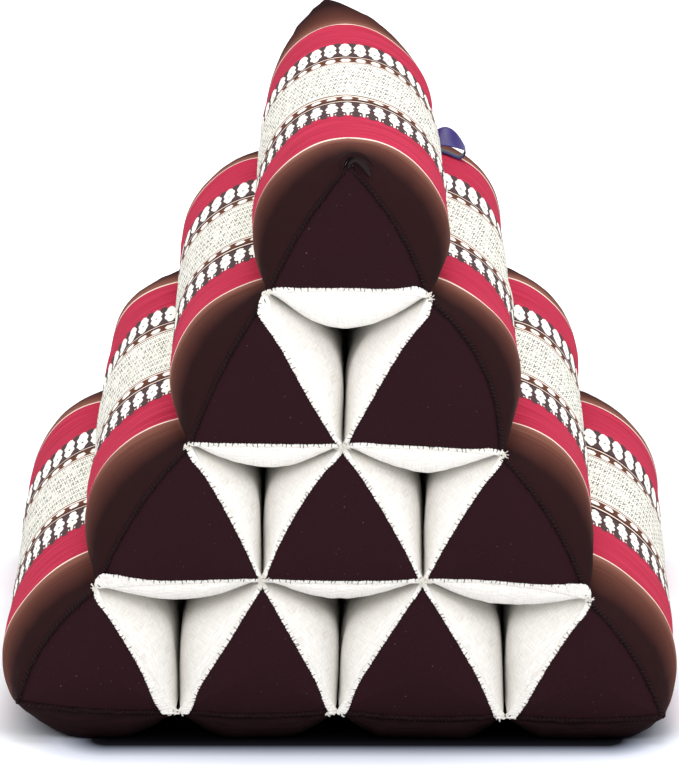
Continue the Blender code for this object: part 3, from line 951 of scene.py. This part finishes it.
def label_line(arch_up):
    """The ribbon's middle line: out over the second row's bulge, round the fold, and back above."""
    over = wall_points(2, 1, "right", LABEL_Y, DENSE_STEPS)[::-1]
    run = run_lengths(over)
    places = np.arange(LABEL_START, LABEL_REACH, LABEL_STEP)
    under = np.interp(places, run, over.real) + 1j * np.interp(places, run, over.imag)
    direction = np.gradient(under)
    direction = direction / np.abs(direction)
    lower = under + 1j * direction * (GAP + LABEL_THICKNESS / 2.0)
    hub = lower[-1] + 1j * direction[-1] * LABEL_FOLD
    turns = np.linspace(0.0, 0.75 * math.pi, 14)[1:]
    fold = hub + (lower[-1] - hub) * np.exp(1j * turns)
    start = lower[0] + 1j * LABEL_OVERLAP
    arch = hub + 1j * arch_up - LABEL_ARCH_IN
    return np.concatenate([lower, fold, conic(fold[-1], arch, start, LABEL_ARCH_WEIGHT, 30)[1:]])


def make_label(material):
    """The bare ribbon loop, a little cupped and frayed towards its edges."""
    share = np.linspace(-1.0, 1.0, 13)
    arches = np.interp(share, (-1.0, 1.0), (LABEL_ARCH_UP, LABEL_ARCH_UP_BEHIND))
    line = np.stack([label_line(arch_up) for arch_up in arches], axis=1)
    direction = np.gradient(line, axis=0)
    normal = 1j * direction / np.abs(direction)
    run = run_lengths(line[:, 6])
    bow = 0.0004 * (1.0 - share ** 2)
    y = LABEL_Y + share * LABEL_WIDTH / 2.0
    half = LABEL_THICKNESS / 2.0 * 0.7
    layers = []
    for side in (-1.0, 1.0):
        edge = np.where(np.abs(share) > 0.99, 0.4, 1.0)
        points = line + normal * (side * half * edge + bow)[None, :]
        layers.append(np.stack([points.real, np.broadcast_to(y, points.shape), points.imag], axis=-1))
    ring = np.concatenate([layers[0], layers[1][:, ::-1]], axis=1)
    uvs = np.stack(np.broadcast_arrays(run[:, None], np.concatenate([y, y[::-1]])[None, :]), axis=-1)
    ribbon = Threads()
    ribbon.grid(ring, uvs, True)
    thing = ribbon.make("ribbon_label", material)
    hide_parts("label")


class Graph:
    """Short ways to add shader nodes to a material."""

    def __init__(self, name):
        self.material = bpy.data.materials.new(name)
        self.material.use_nodes = True
        self.tree = self.material.node_tree
        self.shader = self.tree.nodes["Principled BSDF"]

    def link(self, value, socket):
        if isinstance(value, bpy.types.NodeSocket):
            self.tree.links.new(value, socket)
        else:
            socket.default_value = value

    def node(self, kind, settings=None, **inputs):
        made = self.tree.nodes.new(kind)
        for key, value in (settings or {}).items():
            setattr(made, key, value)
        for key, value in inputs.items():
            self.link(value, made.inputs[key.replace("_", " ")])
        return made

    def math(self, operation, *values):
        made = self.tree.nodes.new("ShaderNodeMath")
        made.operation = operation
        for place, value in enumerate(values):
            self.link(value, made.inputs[place])
        return made.outputs[0]

    def mix(self, share, first, second):
        made = self.tree.nodes.new("ShaderNodeMix")
        made.data_type = "RGBA"
        self.link(share, made.inputs[0])
        self.link(first, made.inputs[6])
        self.link(second, made.inputs[7])
        return made.outputs[2]

    def ramp(self, value, stops, interpolation="LINEAR"):
        made = self.tree.nodes.new("ShaderNodeValToRGB")
        made.color_ramp.interpolation = interpolation
        points = made.color_ramp.elements
        while len(points) < len(stops):
            points.new(0.5)
        for point, (place, colour) in zip(points, stops):
            point.position = place
            point.color = colour if len(colour) == 4 else (*colour, 1.0)
        self.link(value, made.inputs[0])
        return made.outputs[0]

    def coordinates(self):
        """The cloth's own measure, in metres: along the outline, and along Y."""
        made = self.node("ShaderNodeUVMap", {"uv_map": "Cloth"})
        apart = self.tree.nodes.new("ShaderNodeSeparateXYZ")
        self.tree.links.new(made.outputs[0], apart.inputs[0])
        return apart.outputs[0], apart.outputs[1]

    def noise(self, u, v, scale_u, scale_v, detail=2.0):
        """Noise with its own scale along each thread direction."""
        joined = self.tree.nodes.new("ShaderNodeCombineXYZ")
        self.link(self.math("MULTIPLY", u, scale_u), joined.inputs[0])
        self.link(self.math("MULTIPLY", v, scale_v), joined.inputs[1])
        made = self.node("ShaderNodeTexNoise", None, Vector=joined.outputs[0], Scale=1.0, Detail=detail)
        return made.outputs[0]

    def bump(self, height, distance, strength=1.0):
        made = self.node("ShaderNodeBump", None, Height=height, Distance=distance, Strength=strength)
        self.tree.links.new(made.outputs[0], self.shader.inputs["Normal"])
        return made


def srgb(red, green, blue):
    """A colour given as 0 to 255, as the shader wants it."""
    found = []
    for value in (red, green, blue):
        c = value / 255.0
        found.append(c / 12.92 if c <= 0.04045 else ((c + 0.055) / 1.055) ** 2.4)
    return (*found, 1.0)


def cotton_material(name, slant):
    """Unbleached plain weave with thicker threads here and there."""
    g = Graph(name)
    u, v = g.coordinates()
    lean = g.math("ADD", u, g.math("MULTIPLY", v, slant))
    slub_u = g.noise(lean, v, 140.0, 2400.0)
    slub_v = g.noise(lean, v, 2400.0, 140.0)
    threads = g.math("MULTIPLY", g.math("ADD", slub_u, slub_v), 0.5)
    patches = g.noise(u, v, 45.0, 45.0)
    colour = g.ramp(threads, [(0.34, srgb(206, 202, 196)), (0.60, srgb(238, 236, 232))])
    colour = g.mix(g.math("MULTIPLY", patches, 0.25), colour, srgb(230, 223, 212))
    g.link(colour, g.shader.inputs["Base Color"])
    g.shader.inputs["Roughness"].default_value = 0.9
    g.shader.inputs["Specular IOR Level"].default_value = 0.15
    g.bump(threads, 0.0005, 0.6)
    return g.material


def cap_material():
    """Fine dark maroon cotton with a little pale lint."""
    g = Graph("cap_brown")
    u, v = g.coordinates()
    warp = g.noise(u, v, 500.0, 2800.0)
    weft = g.noise(u, v, 2800.0, 500.0)
    weave = g.math("MULTIPLY", g.math("ADD", warp, weft), 0.5)
    colour = g.ramp(weave, [(0.35, srgb(30, 12, 17)), (0.65, srgb(40, 19, 24))])
    faded = g.noise(u, v, 30.0, 30.0)
    colour = g.mix(g.math("MULTIPLY", faded, 0.35), colour, srgb(44, 20, 26))
    specks = g.noise(u, v, 620.0, 620.0, 0.0)
    lint = g.math("GREATER_THAN", specks, 0.850)
    colour = g.mix(g.math("MULTIPLY", lint, 0.25), colour, srgb(140, 120, 124))
    g.link(colour, g.shader.inputs["Base Color"])
    g.shader.inputs["Roughness"].default_value = 0.9
    g.shader.inputs["Specular IOR Level"].default_value = 0.08
    g.bump(weave, 0.0004, 0.5)
    return g.material


def brown_material():
    """The brown cloth of the base and of the rolled seams."""
    g = Graph("base_brown")
    u, v = g.coordinates()
    streaks = g.noise(u, v, 60.0, 1500.0)
    colour = g.ramp(streaks, [(0.3, srgb(24, 10, 13)), (0.7, srgb(36, 17, 19))])
    g.link(colour, g.shader.inputs["Base Color"])
    g.shader.inputs["Roughness"].default_value = 0.9
    g.shader.inputs["Specular IOR Level"].default_value = 0.10
    g.bump(streaks, 0.0003, 0.5)
    return g.material


def thread_material(name, colour, gloss):
    """Twisted sewing thread."""
    g = Graph(name)
    u, v = g.coordinates()
    # Painted shade: the thread's colour is darker along the grooves of its twist, with a bump to match
    twist = g.math("SINE", g.math("ADD", g.math("MULTIPLY", u, 7000.0), g.math("MULTIPLY", v, 9000.0)))
    dark = tuple(c * 0.65 for c in colour[:3]) + (1.0,)
    share = g.math("MULTIPLY_ADD", twist, 0.5, 0.5)
    g.link(g.mix(share, dark, colour), g.shader.inputs["Base Color"])
    g.shader.inputs["Roughness"].default_value = 0.55
    g.shader.inputs["Specular IOR Level"].default_value = gloss
    g.bump(share, 0.0001, 0.5)
    return g.material


def label_material():
    """Satin ribbon, violet where it catches the light."""
    g = Graph("label_ribbon")
    u, v = g.coordinates()
    weft = g.noise(u, v, 200.0, 5000.0)
    colour = g.ramp(weft, [(0.35, srgb(22, 16, 60)), (0.65, srgb(62, 44, 138))])
    g.link(colour, g.shader.inputs["Base Color"])
    g.shader.inputs["Roughness"].default_value = 0.38
    g.shader.inputs["Specular IOR Level"].default_value = 0.35
    g.bump(weft, 0.0001, 0.4)
    return g.material


# The cover's pattern, in metres from its middle line outwards: it is the same in front and behind
PATTERN_MIDDLE = -0.003
CREAM_END = 0.054
LOZENGE_END = 0.081
FLOWER_END = 0.127
RED_END = 0.1966
LINE_END = 0.1994
MOTIF_PITCH = 0.0098
DOT_PITCH = 0.00165
DOT_ROWS = 0.0068
DASH_PITCH = 0.00330
DASH_ROWS = 0.0136
REACH = 0.250

CREAM = srgb(236, 234, 224)
LINE_CREAM = srgb(238, 218, 206)
MOTIF_WHITE = srgb(248, 246, 238)
GROUND_BROWN = srgb(98, 58, 44)
LINE_DARK = srgb(56, 32, 30)
CHARCOAL = srgb(80, 62, 64)
CREAM_DOT = srgb(58, 48, 42)
RED = srgb(192, 54, 82)
RED_DEEP = srgb(160, 36, 58)
# The brown edge band's colours: its own brown, painted lighter by the cream line and darker towards the end
# seams as painted light and shade
RIM_PAINTED_LIGHT = srgb(140, 92, 78)
RIM_PAINTED_HALF_SHADE = srgb(92, 54, 46)
RIM_PAINTED_SHADE = srgb(38, 20, 21)
RIM_STREAK_SHEEN = srgb(176, 124, 104)

# The flowers' half width, as shares of the half pitch, at shares of their band from the lozenge side on
FLOWER_COLUMNS = ("place", "half_width")
FRONT_FLOWER = (
    (0.00, 0.00),
    (0.03, 0.34),
    (0.12, 0.56),
    (0.18, 0.40),
    (0.24, 0.66),
    (0.33, 0.84),
    (0.41, 0.80),
    (0.47, 0.50),
    (0.54, 0.68),
    (0.62, 0.74),
    (0.69, 0.56),
    (0.73, 0.18),
    (0.92, 0.15),
    (0.95, 0.00),
)
REAR_FLOWER = (
    (0.00, 0.00),
    (0.05, 0.34),
    (0.15, 0.50),
    (0.21, 0.66),
    (0.30, 0.84),
    (0.40, 0.78),
    (0.47, 0.62),
    (0.55, 0.80),
    (0.68, 0.84),
    (0.78, 0.60),
    (0.90, 0.44),
    (0.98, 0.00),
)


def flower_shape(g, along, across, in_front):
    """1 inside the white flowers, 0 elsewhere."""
    widths = []
    for flower in (FRONT_FLOWER, REAR_FLOWER):
        stops = [(f["place"], (f["half_width"],) * 3) for f in table(FLOWER_COLUMNS, flower)]
        widths.append(g.ramp(along, stops))
    width = g.mix(in_front, widths[1], widths[0])
    body = g.math("LESS_THAN", across, width)
    prong_near = g.math("COMPARE", across, 0.44, 0.08)
    prong_far = g.math("COMPARE", along, 0.86, 0.035)
    prongs = g.math("MULTIPLY", g.math("MULTIPLY", prong_near, prong_far), in_front)
    eye_across = g.math("LESS_THAN", across, 0.14)
    eye = g.math("MULTIPLY", eye_across, g.math("COMPARE", along, 0.43, 0.03))
    filled = g.math("SUBTRACT", g.math("MAXIMUM", body, prongs), eye)
    inside = g.math("MULTIPLY", g.math("GREATER_THAN", along, 0.0), g.math("LESS_THAN", along, 1.0))
    return g.math("MULTIPLY", filled, inside)


def cell_dots(g, u, v, u_pitch, v_pitch, u_half, v_half, lean):
    """1 inside small dots on a leaning grid."""
    leaned = g.math("ADD", u, g.math("MULTIPLY", v, lean))
    from_u = g.math("PINGPONG", leaned, u_pitch / 2.0)
    from_v = g.math("PINGPONG", v, v_pitch / 2.0)
    return g.math("MULTIPLY", g.math("LESS_THAN", from_u, u_half), g.math("LESS_THAN", from_v, v_half))


def cover_material():
    """The striped and patterned outer cloth."""
    g = Graph("cover_striped")
    u, v = g.coordinates()
    centred = g.math("SUBTRACT", v, PATTERN_MIDDLE)
    in_front = g.math("LESS_THAN", centred, 0.0)
    from_middle = g.math("ABSOLUTE", centred)
    across = g.math("MULTIPLY", g.math("PINGPONG", u, MOTIF_PITCH / 2.0), 2.0 / MOTIF_PITCH)
    streaks = g.noise(u, v, 14.0, 520.0, 3.0)
    red = g.ramp(streaks, [(0.36, RED_DEEP), (0.60, RED)])
    share = g.math("DIVIDE", from_middle, REACH)
    step = 1.0 / REACH
    # The brown edge band: a painted highlight by the cream line, fading to painted shade towards the end
    # seams
    rim = g.ramp(
        share,
        [
            (LINE_END * step, RIM_PAINTED_LIGHT),
            ((LINE_END + 0.013) * step, RIM_PAINTED_HALF_SHADE),
            ((LINE_END + 0.033) * step, RIM_PAINTED_SHADE),
            ((LINE_END + 0.045) * step, RIM_PAINTED_SHADE),
        ],
    )
    # Pale streaks of the cloth, painted in only near the cream line where the brown is lit: partly the
    # cloth's streaks, partly painted sheen
    fine = g.noise(u, v, 10.0, 1700.0, 1.0)
    near_line = g.ramp(share, [(LINE_END * step, (0.5,) * 3), ((LINE_END + 0.022) * step, (0.0,) * 3)])
    tan = g.ramp(fine, [(0.52, (0.0,) * 3), (0.68, (1.0,) * 3)])
    rim = g.mix(g.math("MULTIPLY", tan, near_line), rim, RIM_STREAK_SHEEN)
    # The lines and grounds from the cream panel outwards
    bands = g.ramp(
        share,
        [
            (0.0, CREAM),
            (CREAM_END * step, LINE_DARK),
            ((CREAM_END + 0.0022) * step, LINE_CREAM),
            ((CREAM_END + 0.0046) * step, GROUND_BROWN),
            ((CREAM_END + 0.0190) * step, LINE_DARK),
            ((CREAM_END + 0.0212) * step, LINE_CREAM),
            ((CREAM_END + 0.0236) * step, LINE_DARK),
            (LOZENGE_END * step, CHARCOAL),
        ],
        "CONSTANT",
    )
    # Rows of dots and slanting dashes over the cream panel
    dots = cell_dots(g, u, v, DOT_PITCH, DOT_ROWS, 0.00042, 0.0013, 0.1213)
    shifted = g.math("ADD", v, DOT_ROWS / 2.0)
    dashes = cell_dots(g, u, shifted, DASH_PITCH, DASH_ROWS, 0.00075, 0.0013, 0.30)
    worn = g.ramp(g.noise(u, v, 190.0, 45.0), [(0.36, (0.25,) * 3), (0.56, (1.0,) * 3)])
    on_cream = g.math("LESS_THAN", from_middle, CREAM_END - 0.002)
    marks = g.math("MULTIPLY", g.math("MULTIPLY", g.math("MAXIMUM", dots, dashes), on_cream), worn)
    bands = g.mix(marks, bands, CREAM_DOT)
    # Lozenges
    from_row = g.math("ABSOLUTE", g.math("SUBTRACT", from_middle, CREAM_END + 0.0118))
    lozenge_reach = g.math("SUBTRACT", 0.72, g.math("MULTIPLY", from_row, 0.30 / 0.0048))
    lozenge = g.math("LESS_THAN", across, lozenge_reach)
    lozenge = g.math("MULTIPLY", lozenge, g.math("LESS_THAN", from_row, 0.0048))
    bands = g.mix(lozenge, bands, MOTIF_WHITE)
    along = g.math("DIVIDE", g.math("SUBTRACT", from_middle, LOZENGE_END), FLOWER_END - LOZENGE_END)
    flower = flower_shape(g, along, across, in_front)
    between_bars = g.math("LESS_THAN", across, 0.62)
    red_edge = g.math("SUBTRACT", FLOWER_END + 0.0010, g.math("MULTIPLY", between_bars, 0.0040))
    colour = g.mix(g.math("GREATER_THAN", from_middle, red_edge), bands, red)
    colour = g.mix(flower, colour, MOTIF_WHITE)
    colour = g.mix(g.math("GREATER_THAN", from_middle, RED_END), colour, LINE_CREAM)
    colour = g.mix(g.math("GREATER_THAN", from_middle, LINE_END), colour, rim)
    g.link(colour, g.shader.inputs["Base Color"])
    g.shader.inputs["Roughness"].default_value = 0.85
    g.shader.inputs["Specular IOR Level"].default_value = 0.04
    threads = g.noise(u, v, 400.0, 2600.0)
    raised = g.math("ADD", g.math("MULTIPLY", g.math("MAXIMUM", flower, lozenge), 0.6), threads)
    g.bump(raised, 0.0004, 0.6)
    return g.material


def floor_material():
    """A white studio floor, lit by itself away from the cushion so that it stays white to its edges, with a
    contact shadow painted dark around the cushion's footprint.
    """
    g = Graph("studio_floor")
    place = g.node("ShaderNodeNewGeometry")
    distance = g.tree.nodes.new("ShaderNodeVectorMath")
    distance.operation = "LENGTH"
    g.tree.links.new(place.outputs["Position"], distance.inputs[0])
    far = g.ramp(g.math("DIVIDE", distance.outputs["Value"], 2.0), [(0.19, (0.0,) * 3), (0.60, (1.0,) * 3)])
    apart = g.tree.nodes.new("ShaderNodeSeparateXYZ")
    g.tree.links.new(place.outputs["Position"], apart.inputs[0])
    aside = g.math("ABSOLUTE", g.math("SUBTRACT", apart.outputs[0], SHADOW_MIDDLE))
    beside = g.math("MULTIPLY", g.math("SUBTRACT", aside, SHADOW_SIDE), 1.3)
    before = g.math("SUBTRACT", g.math("ABSOLUTE", apart.outputs[1]), SHADOW_FRONT)
    beside = g.math("MAXIMUM", beside, 0.0)
    before = g.math("MAXIMUM", before, 0.0)
    squares = g.math("ADD", g.math("MULTIPLY", beside, beside), g.math("MULTIPLY", before, before))
    reach = g.math("SQRT", squares)
    # Painted contact shadow: near black at the footprint, fading through blue grey to white
    stops = [
        (0.00, (0.004, 0.004, 0.006)),
        (0.13, (0.010, 0.010, 0.014)),
        (0.22, (0.22, 0.24, 0.30)),
        (0.40, (0.64, 0.67, 0.76)),
        (0.70, (0.92, 0.93, 0.96)),
    ]
    g.link(g.ramp(g.math("DIVIDE", reach, 0.1), stops), g.shader.inputs["Base Color"])
    g.shader.inputs["Roughness"].default_value = 0.95
    g.shader.inputs["Specular IOR Level"].default_value = 0.0
    g.shader.inputs["Emission Color"].default_value = (1.0, 1.0, 1.0, 1.0)
    g.link(g.math("MULTIPLY", far, 0.45), g.shader.inputs["Emission Strength"])
    return g.material


def make_floor():
    bpy.ops.mesh.primitive_plane_add(size=30.0, location=(0.0, 0.0, 0.0))
    floor = bpy.context.active_object
    floor.name = "floor"
    floor.data.materials.append(floor_material())


def add_area_light(name, place, aim, size, power):
    data = bpy.data.lights.new(name, "AREA")
    data.size = size
    data.energy = power
    light = bpy.data.objects.new(name, data)
    bpy.context.scene.collection.objects.link(light)
    light.location = place
    heading = np.array(aim) - np.array(place)
    flat = math.hypot(heading[0], heading[1])
    turn = math.atan2(heading[0], -heading[1]) + math.pi
    light.rotation_euler = (math.atan2(flat, -heading[2]), 0.0, turn)
    return light


def make_lights():
    world = bpy.data.worlds.new("studio")
    bpy.context.scene.world = world
    world.use_nodes = True
    world.node_tree.nodes["Background"].inputs["Color"].default_value = (1.0, 1.0, 1.0, 1.0)
    world.node_tree.nodes["Background"].inputs["Strength"].default_value = 0.66
    add_area_light("key", (-1.2, -3.2, 2.6), (0.0, 0.0, 0.15), 2.2, 56.0)
    add_area_light("fill", (1.8, -2.4, 2.2), (0.0, 0.0, 0.15), 2.0, 34.0)
    add_area_light("top", (0.2, 0.2, 3.2), (0.0, 0.0, 0.10), 2.0, 60.0)


def make_camera():
    data = bpy.data.cameras.new("camera")
    data.sensor_fit = "VERTICAL"
    data.sensor_height = SENSOR
    data.lens = CAMERA_LENS
    data.clip_end = 60.0
    camera = bpy.data.objects.new("camera", data)
    bpy.context.scene.collection.objects.link(camera)
    camera.location = CAMERA_PLACE
    camera.rotation_euler = (math.radians(90.0 - CAMERA_PITCH), 0.0, math.radians(-CAMERA_YAW))
    bpy.context.scene.camera = camera


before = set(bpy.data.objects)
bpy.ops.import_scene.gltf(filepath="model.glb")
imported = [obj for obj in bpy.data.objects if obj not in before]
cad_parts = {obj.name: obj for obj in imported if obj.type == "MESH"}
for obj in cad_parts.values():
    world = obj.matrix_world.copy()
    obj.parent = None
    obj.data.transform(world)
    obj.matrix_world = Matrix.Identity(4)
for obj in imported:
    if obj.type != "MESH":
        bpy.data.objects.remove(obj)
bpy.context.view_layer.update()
make_camera()
make_lights()
make_floor()
cotton = cotton_material("cotton_white", 0.0)
cap_cloth = cap_material()
brown = brown_material()
striped = cover_material()
for row in range(1, ROWS + 1):
    for place in range(row):
        make_casing(row, place, cotton)
        for end in ("front", "back"):
            make_cap(row, place, end, cap_cloth)
slope_rests = [f"casing_{row}_1" for row in range(1, ROWS + 1)]
slope_rests += [f"casing_{row}_{row}" for row in range(2, ROWS + 1)]
make_outer_cloth("striped_cover", ["cover_slopes"], slope_walls(), 0, striped)
base_nodes = [f"cover_base_{place + 1}" for place in range(ROWS)]
make_outer_cloth("base_cloth", base_nodes, base_walls(), 2 * ROWS, brown)
make_sewing(
    cotton_material("hem_cotton", 0.6),
    brown,
    thread_material("white_thread", srgb(244, 240, 230), 0.25),
    thread_material("dark_thread", srgb(30, 17, 19), 0.15),
    # The pale thread of the painted glints on the seams
    thread_material("painted_glint_thread", srgb(176, 168, 172), 0.50),
)
make_label(label_material())
bpy.context.scene.view_settings.view_transform = "Standard"
bpy.context.scene.view_settings.look = "None"
